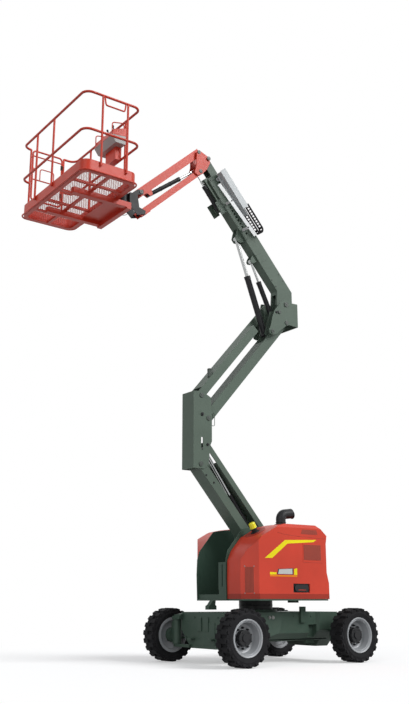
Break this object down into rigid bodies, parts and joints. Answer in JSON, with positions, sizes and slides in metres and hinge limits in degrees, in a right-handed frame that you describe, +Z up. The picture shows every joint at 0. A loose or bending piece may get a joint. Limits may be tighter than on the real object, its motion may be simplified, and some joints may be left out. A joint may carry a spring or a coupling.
{
  "type": "articulating_boom_lift",
  "caption": "Articulating boom lift with two parallelogram risers, telescopic boom, jib and basket, red over dark green",
  "frame": {"origin": "floor level under the middle of the bounding box", "axes": "X forward to the basket, Y to the near side, Z up"},
  "size_m": [4.8921, 1.94, 7.5109],
  "materials": {
    "red_paint": "gloss",
    "dark_green_paint": "satin",
    "grey_steel": "satin",
    "black_steel": "satin",
    "chrome_rod": "polished",
    "tyre_rubber": "matte",
    "rim_silver": "satin",
    "amber_lens": "gloss",
    "chain_plastic": "matte",
    "grey_plastic": "matte",
    "cast_weight": "matte"
  },
  "bodies": {
    "chassis": {"chassis_frame": "dark_green_paint", "slew_ring": "black_steel"},
    "steer_near": {"steering_knuckle_near": "dark_green_paint"},
    "steer_far": {"steering_knuckle_far": "dark_green_paint"},
    "tie_rod_body": {"tie_rod": "black_steel"},
    "wheel_front_near": {"tyre_front_near": "tyre_rubber", "rim_front_near": "rim_silver"},
    "wheel_front_far": {"tyre_front_far": "tyre_rubber", "rim_front_far": "rim_silver"},
    "wheel_rear_near": {"tyre_rear_near": "tyre_rubber", "rim_rear_near": "rim_silver"},
    "wheel_rear_far": {"tyre_rear_far": "tyre_rubber", "rim_rear_far": "rim_silver"},
    "turret": {"turret_frame": "dark_green_paint", "cowl_near": "red_paint", "cowl_far": "red_paint", "counterweight": "cast_weight", "engine": "black_steel", "exhaust_stack": "black_steel", "beacon": "amber_lens", "ground_control_box": "grey_plastic"},
    "riser_front": {"riser_link_front": "grey_steel"},
    "riser_rear": {"riser_link_rear": "grey_steel"},
    "mid_knuckle_body": {"mid_knuckle": "grey_steel"},
    "riser_barrel": {"riser_cylinder_barrel": "black_steel"},
    "riser_rod": {"riser_cylinder_rod": "chrome_rod"},
    "long_link_lower": {"upper_riser_link_lower": "grey_steel"},
    "long_link_upper": {"upper_riser_link_upper": "grey_steel"},
    "top_knuckle_body": {"top_knuckle": "grey_steel"},
    "boom_body": {"boom": "grey_steel", "line_carrier": "grey_steel", "energy_chain": "chain_plastic"},
    "lift_barrel": {"lift_cylinder_barrel": "black_steel"},
    "lift_rod": {"lift_cylinder_rod": "chrome_rod"},
    "level_barrel": {"level_cylinder_barrel": "black_steel"},
    "level_rod": {"level_cylinder_rod": "chrome_rod"},
    "fly": {"fly_boom": "grey_steel"},
    "slave_barrel": {"slave_cylinder_barrel": "black_steel"},
    "slave_rod": {"slave_cylinder_rod": "chrome_rod"},
    "head": {"jib_head": "red_paint"},
    "jib_upper": {"jib_beam_upper": "red_paint"},
    "jib_lower": {"jib_beam_lower": "red_paint"},
    "jib_end": {"jib_bracket": "black_steel"},
    "jib_barrel": {"jib_cylinder_barrel": "black_steel"},
    "jib_rod": {"jib_cylinder_rod": "chrome_rod"},
    "basket": {"platform_support": "red_paint", "basket_tray": "red_paint", "basket_floor": "grey_steel", "basket_rails": "red_paint", "platform_console": "grey_plastic"},
    "gate_body": {"gate": "red_paint"}
  },
  "joints": [
    {"name": "steer_near", "type": "hinge", "parent": "chassis", "child": "steer_near", "pos_m": [-0.13606, 0.64, 0.4], "axis": [0, 0, 1], "range_deg": [-35, 35]},
    {"name": "steer_far", "type": "hinge", "parent": "chassis", "child": "steer_far", "pos_m": [-0.13606, -0.64, 0.4], "axis": [0, 0, 1], "range_deg": [-36, 36]},
    {"name": "tie_rod_slide", "type": "slide", "parent": "chassis", "child": "tie_rod_body", "axis": [0, 1, 0], "range_m": [-0.11126, 0.11126]},
    {"name": "wheel_front_near", "type": "hinge", "parent": "steer_near", "child": "wheel_front_near", "pos_m": [-0.13606, 0.85, 0.36], "axis": [0, 1, 0], "continuous": true},
    {"name": "wheel_front_far", "type": "hinge", "parent": "steer_far", "child": "wheel_front_far", "pos_m": [-0.13606, -0.85, 0.36], "axis": [0, 1, 0], "continuous": true},
    {"name": "wheel_rear_near", "type": "hinge", "parent": "chassis", "child": "wheel_rear_near", "pos_m": [-2.08606, 0.85, 0.36], "axis": [0, 1, 0], "continuous": true},
    {"name": "wheel_rear_far", "type": "hinge", "parent": "chassis", "child": "wheel_rear_far", "pos_m": [-2.08606, -0.85, 0.36], "axis": [0, 1, 0], "continuous": true},
    {"name": "slew", "type": "hinge", "parent": "chassis", "child": "turret", "pos_m": [-1.03106, 0, 0.76], "axis": [0, 0, 1], "range_deg": [-180, 180]},
    {"name": "riser", "type": "hinge", "parent": "turret", "child": "riser_front", "pos_m": [-1.43206, 0, 0.987], "axis": [0, -1, 0], "range_deg": [-46.9, 19.5]},
    {"name": "riser_rear", "type": "hinge", "parent": "turret", "child": "riser_rear", "pos_m": [-1.54906, 0, 1.267], "axis": [0, -1, 0], "range_deg": [-47.9, 20.5]},
    {"name": "mid_knuckle", "type": "hinge", "parent": "riser_front", "child": "mid_knuckle_body", "pos_m": [0.01417, 0, 2.64484], "axis": [0, -1, 0], "range_deg": [-20.5, 47.9]},
    {"name": "riser_barrel", "type": "hinge", "parent": "turret", "child": "riser_barrel", "pos_m": [-1.46206, 0, 1.049], "axis": [0, -1, 0], "range_deg": [-46.3, 19.25]},
    {"name": "riser_rod", "type": "slide", "parent": "riser_barrel", "child": "riser_rod", "axis": [0.5868, 0, 0.8098], "range_m": [-0.17591, 0.0732]},
    {"name": "long_link_lower", "type": "hinge", "parent": "mid_knuckle_body", "child": "long_link_lower", "pos_m": [-0.11783, 0, 3.30184], "axis": [0, 1, 0], "range_deg": [-47.9, 20.5]},
    {"name": "long_link_upper", "type": "hinge", "parent": "mid_knuckle_body", "child": "long_link_upper", "pos_m": [0.00417, 0, 3.61984], "axis": [0, 1, 0], "range_deg": [-47.9, 20.5]},
    {"name": "top_knuckle", "type": "hinge", "parent": "long_link_lower", "child": "top_knuckle_body", "pos_m": [-1.56406, 0, 4.95968], "axis": [0, -1, 0], "range_deg": [-47.9, 20.5]},
    {"name": "boom", "type": "hinge", "parent": "top_knuckle_body", "child": "boom_body", "pos_m": [-1.56306, 0, 5.25668], "axis": [0, 1, 0], "range_deg": [-21.1, 48.9]},
    {"name": "lift_barrel", "type": "hinge", "parent": "top_knuckle_body", "child": "lift_barrel", "pos_m": [-1.27706, 0, 4.77468], "axis": [0, 1, 0], "range_deg": [-17.74, 41.11]},
    {"name": "lift_rod", "type": "slide", "parent": "lift_barrel", "child": "lift_rod", "axis": [0.3447, 0, 0.9387], "range_m": [-0.41517, 0.1792]},
    {"name": "level_barrel", "type": "hinge", "parent": "top_knuckle_body", "child": "level_barrel", "pos_m": [-1.42306, 0, 5.10668], "axis": [0, 1, 0], "range_deg": [-20.89, 48.4]},
    {"name": "level_rod", "type": "slide", "parent": "level_barrel", "child": "level_rod", "axis": [0.4382, 0, 0.8989], "range_m": [-0.16758, 0.07237]},
    {"name": "fly_slide", "type": "slide", "parent": "boom_body", "child": "fly", "axis": [0.6574, 0, 0.7536], "range_m": [0, 0.9]},
    {"name": "head", "type": "hinge", "parent": "fly", "child": "head", "pos_m": [-0.15186, 0, 7.37636], "axis": [0, -1, 0], "range_deg": [-22.1, 49.9]},
    {"name": "slave_barrel", "type": "hinge", "parent": "fly", "child": "slave_barrel", "pos_m": [-0.40143, 0, 6.61871], "axis": [0, 1, 0], "range_deg": [-0.49, 1.14]},
    {"name": "slave_rod", "type": "slide", "parent": "slave_barrel", "child": "slave_rod", "axis": [0.6363, 0, 0.7715], "range_m": [-0.10691, 0.24763]},
    {"name": "jib", "type": "hinge", "parent": "head", "child": "jib_upper", "pos_m": [0.02314, 0, 7.43636], "axis": [0, -1, 0], "range_deg": [-17, 103]},
    {"name": "jib_lower", "type": "hinge", "parent": "head", "child": "jib_lower", "pos_m": [-0.01186, 0, 7.12636], "axis": [0, -1, 0], "range_deg": [-18, 104]},
    {"name": "jib_end", "type": "hinge", "parent": "jib_upper", "child": "jib_end", "pos_m": [1.03606, 0, 6.49179], "axis": [0, -1, 0], "range_deg": [-104, 18]},
    {"name": "jib_barrel", "type": "hinge", "parent": "jib_upper", "child": "jib_barrel", "pos_m": [0.85084, 0, 6.52778], "axis": [0, -1, 0], "range_deg": [-0.24, 1.46]},
    {"name": "jib_rod", "type": "slide", "parent": "jib_barrel", "child": "jib_rod", "axis": [-0.7936, 0, 0.6085], "range_m": [-0.08101, 0.49034]},
    {"name": "rotator", "type": "hinge", "parent": "jib_end", "child": "basket", "pos_m": [1.28106, 0, 6.2], "axis": [0, 0, 1], "range_deg": [-90, 90]},
    {"name": "gate", "type": "hinge", "parent": "basket", "child": "gate_body", "pos_m": [1.80836, -0.95, 6.09479], "axis": [0, 0, 1], "range_deg": [0, 85]}
  ],
  "couplings": [
    {"joint": "steer_far", "follows": "steer_near", "ratio": 1},
    {"joint": "tie_rod_slide", "follows": "steer_near", "m_per_rad": -0.1784},
    {"joint": "riser_rear", "follows": "riser", "ratio": 1},
    {"joint": "mid_knuckle", "follows": "riser", "ratio": -1},
    {"joint": "riser_barrel", "follows": "riser", "ratio": 0.9678},
    {"joint": "riser_rod", "follows": "riser", "m_per_rad": 0.21057},
    {"joint": "long_link_lower", "follows": "riser", "ratio": 1},
    {"joint": "long_link_upper", "follows": "riser", "ratio": 1},
    {"joint": "top_knuckle", "follows": "riser", "ratio": 1},
    {"joint": "lift_barrel", "follows": "boom", "ratio": 0.82404},
    {"joint": "lift_rod", "follows": "boom", "m_per_rad": -0.4768},
    {"joint": "level_barrel", "follows": "boom", "ratio": 0.97016},
    {"joint": "level_rod", "follows": "boom", "m_per_rad": -0.19239},
    {"joint": "head", "follows": "boom", "ratio": 1},
    {"joint": "slave_barrel", "follows": "boom", "ratio": 0.02272},
    {"joint": "slave_rod", "follows": "boom", "m_per_rad": 0.28434},
    {"joint": "jib_lower", "follows": "jib", "ratio": 1},
    {"joint": "jib_end", "follows": "jib", "ratio": -1},
    {"joint": "jib_barrel", "follows": "jib", "ratio": 0.01379},
    {"joint": "jib_rod", "follows": "jib", "m_per_rad": 0.26736}
  ]
}
